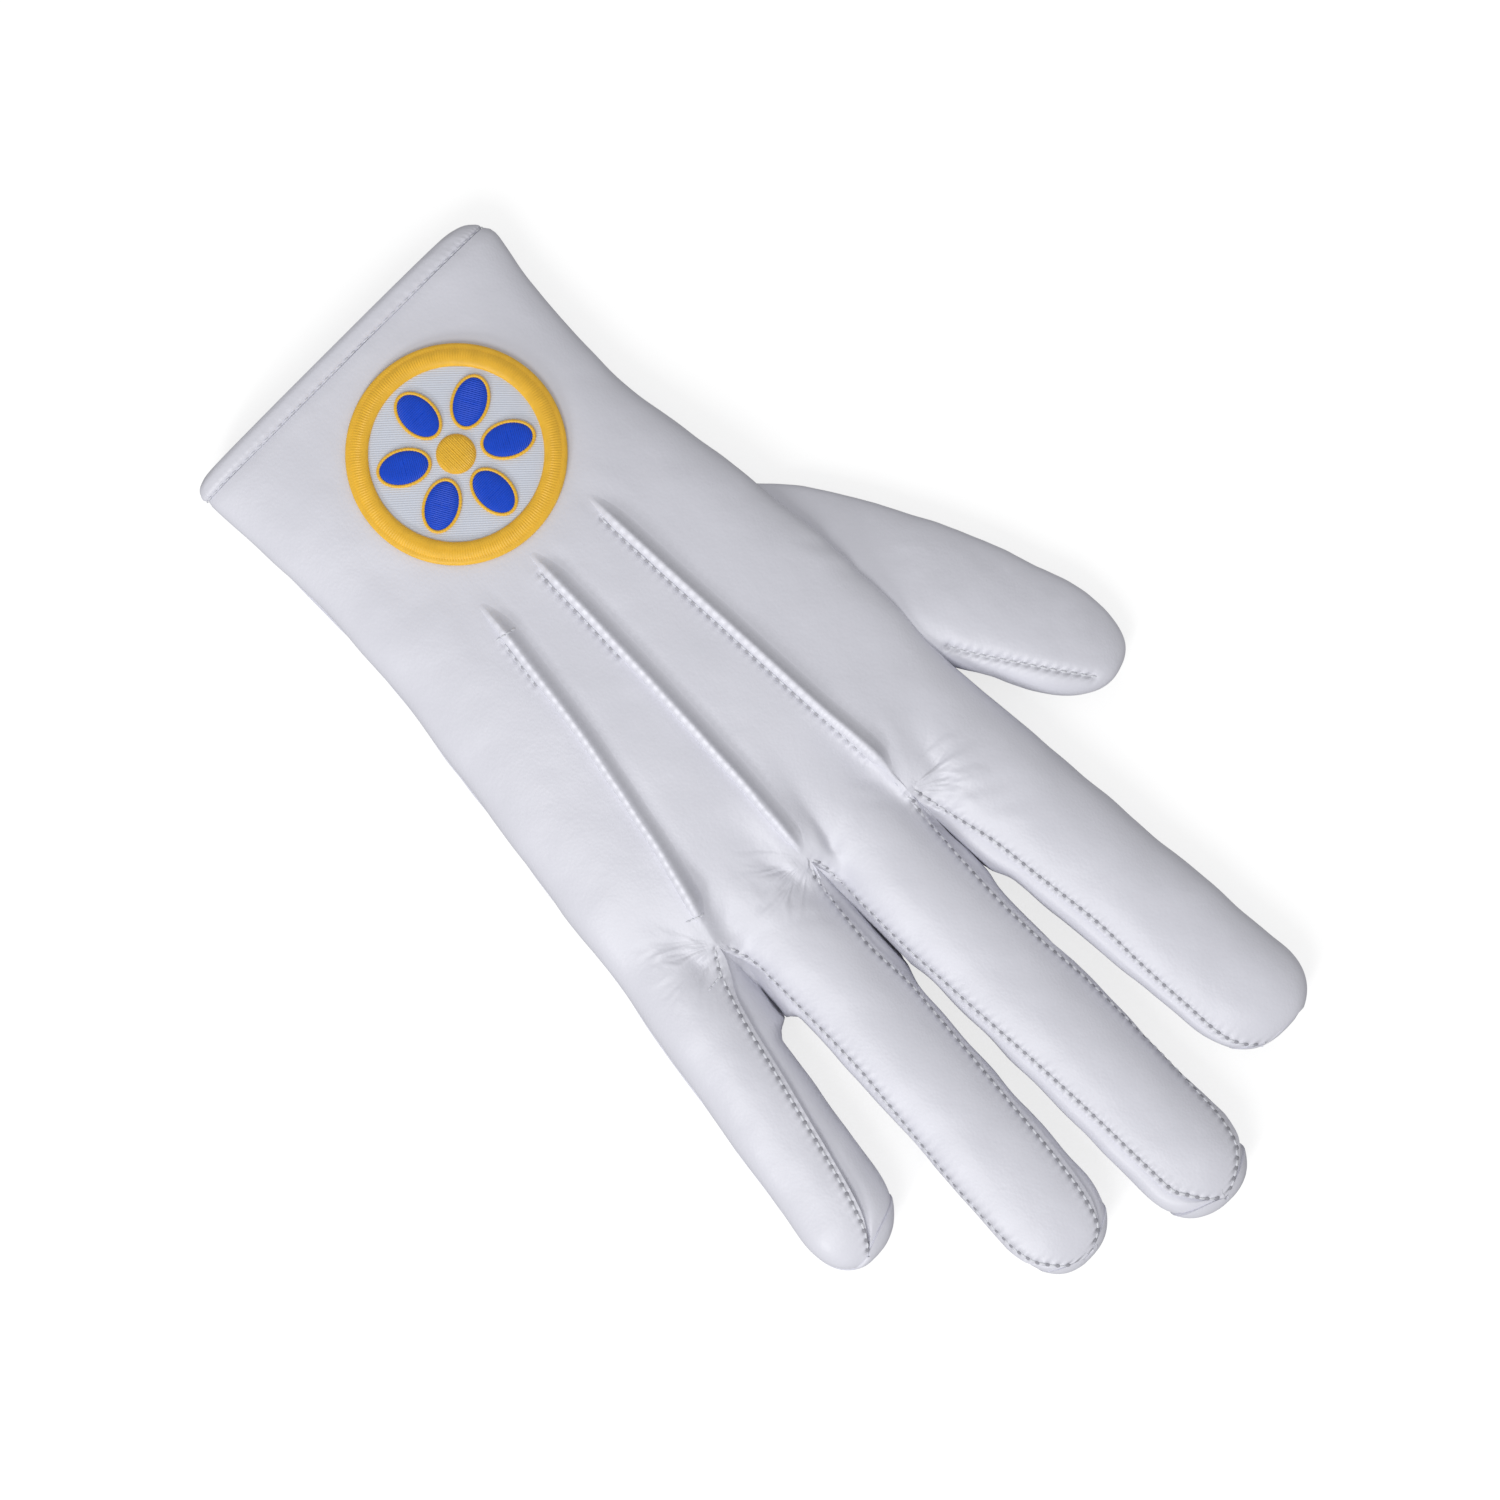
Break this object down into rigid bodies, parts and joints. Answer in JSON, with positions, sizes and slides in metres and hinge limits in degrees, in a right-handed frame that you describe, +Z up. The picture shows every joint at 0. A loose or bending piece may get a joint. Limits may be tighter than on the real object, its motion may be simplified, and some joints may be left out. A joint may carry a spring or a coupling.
{
  "type": "parade glove",
  "caption": "Five-fingered white leather dress glove for the right hand, lying on its palm, with raised points on the back, a hemmed cuff and a round embroidered wrist patch.",
  "frame": {"origin": "middle of the footprint, on the surface that the glove rests on", "axes": "+Y from the cuff to the fingertips, +X towards the little finger, +Z up out of the back of the hand"},
  "size_m": [0.138, 0.2576, 0.0236],
  "materials": {
    "leather": "smooth white glove leather with a soft sheen",
    "patch_cloth": "pale twill",
    "gold_thread": "golden yellow embroidery thread",
    "blue_thread": "royal blue satin stitch"
  },
  "bodies": {
    "root": {"back_panel": "leather", "palm_panel": "leather", "fourchette_index_middle": "leather", "fourchette_middle_ring": "leather", "fourchette_ring_little": "leather", "thumb": "leather", "cuff_hem": "leather", "point_index_side": "leather", "point_centre": "leather", "point_little_side": "leather", "patch_cloth": "patch_cloth", "patch_border": "gold_thread", "patch_boss": "gold_thread", "patch_petal_1": "blue_thread", "patch_petal_2": "blue_thread", "patch_petal_3": "blue_thread", "patch_petal_4": "blue_thread", "patch_petal_5": "blue_thread", "patch_petal_6": "blue_thread"}
  },
  "joints": []
}
